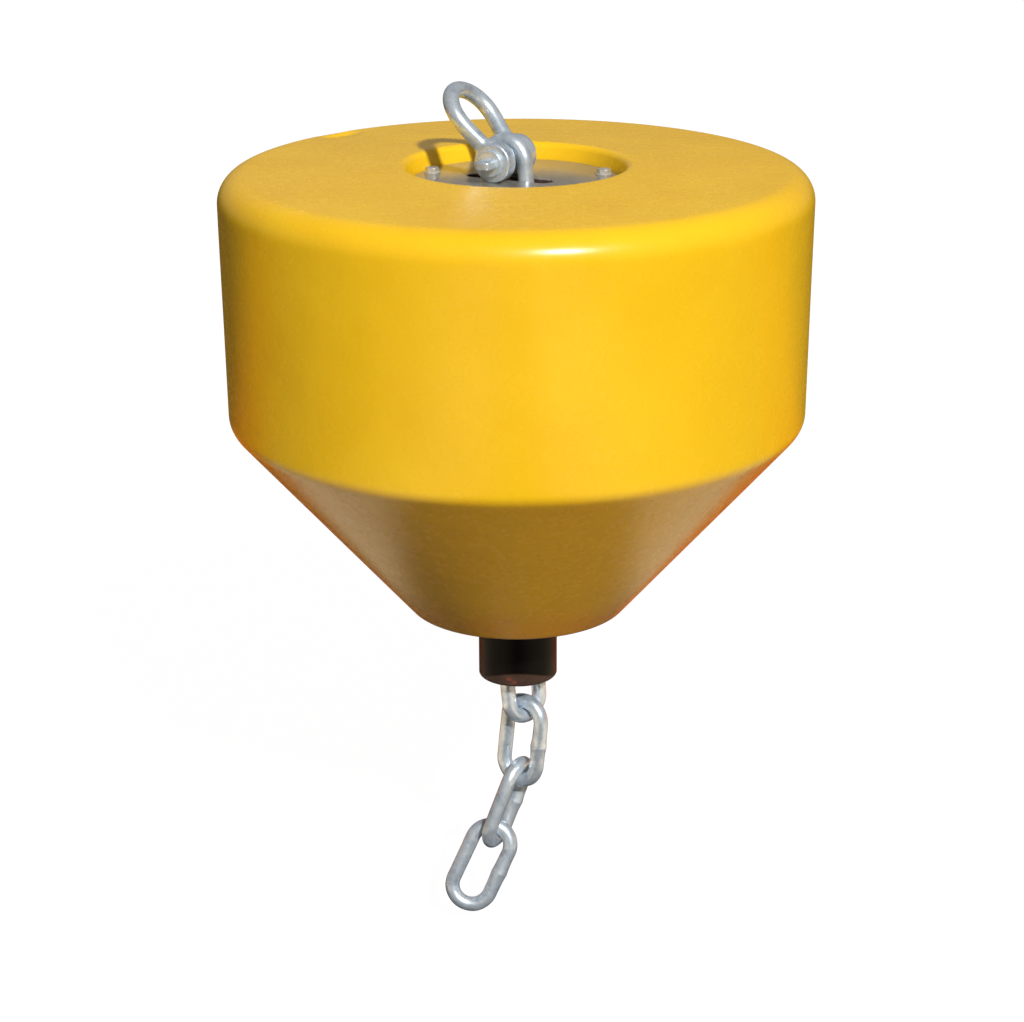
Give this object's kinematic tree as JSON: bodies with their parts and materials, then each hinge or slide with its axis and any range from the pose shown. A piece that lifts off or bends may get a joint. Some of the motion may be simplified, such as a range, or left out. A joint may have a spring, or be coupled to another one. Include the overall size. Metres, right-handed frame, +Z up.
{
  "type": "mooring buoy",
  "caption": "Drum-and-cone mooring buoy with a central hawse pipe, a slotted top plate, through chain and a bow shackle.",
  "frame": {"origin": "on the float's axis at the waterline, between the drum's rim and its shoulder", "axes": "+Z up along the hawse pipe, +X to the right and +Y away from the viewer of the picture"},
  "size_m": [0.9008, 0.9008, 1.3456],
  "materials": {
    "yellow_polyethylene": "satin rotomoulded skin",
    "black_polyethylene": "extruded pipe, satin",
    "grey_steel_plate": "smooth dull plate",
    "galvanised_chain": "hot-dip galvanised",
    "galvanised_shackle": "hot-dip galvanised"
  },
  "bodies": {
    "buoy": {"float_shell": "yellow_polyethylene", "hawse_pipe": "black_polyethylene", "top_plate": "grey_steel_plate", "chain_link_00": "galvanised_chain", "chain_link_01": "galvanised_chain", "chain_link_02": "galvanised_chain", "chain_link_03": "galvanised_chain", "chain_link_04": "galvanised_chain", "chain_link_05": "galvanised_chain", "chain_link_06": "galvanised_chain", "chain_link_07": "galvanised_chain"},
    "shackle": {"shackle_bow": "galvanised_shackle", "shackle_pin": "galvanised_shackle"},
    "tail_link_1": {"chain_link_08": "galvanised_chain"},
    "tail_link_2": {"chain_link_09": "galvanised_chain"},
    "tail_link_3": {"chain_link_10": "galvanised_chain"}
  },
  "joints": [
    {"name": "shackle_swing", "type": "hinge", "parent": "buoy", "child": "shackle", "pos_m": [-0.0155, 0.014, 0.3153], "axis": [-0.4695, -0.8829, 0], "range_deg": [-126, 44]},
    {"name": "tail_link_1_swing", "type": "hinge", "parent": "buoy", "child": "tail_link_1", "pos_m": [0.01187, -0.00451, -0.59166], "axis": [0.6747, 0.7381, -0.0022], "range_deg": [-60, 60]},
    {"name": "tail_link_2_swing", "type": "hinge", "parent": "tail_link_1", "child": "tail_link_2", "pos_m": [-0.00056, -0.0022, -0.70428], "axis": [0.8336, -0.5238, -0.1755], "range_deg": [-60, 60]},
    {"name": "tail_link_3_swing", "type": "hinge", "parent": "tail_link_2", "child": "tail_link_3", "pos_m": [-0.04351, -0.02131, -0.80754], "axis": [0.2311, 0.9305, -0.2843], "range_deg": [-60, 60]}
  ]
}
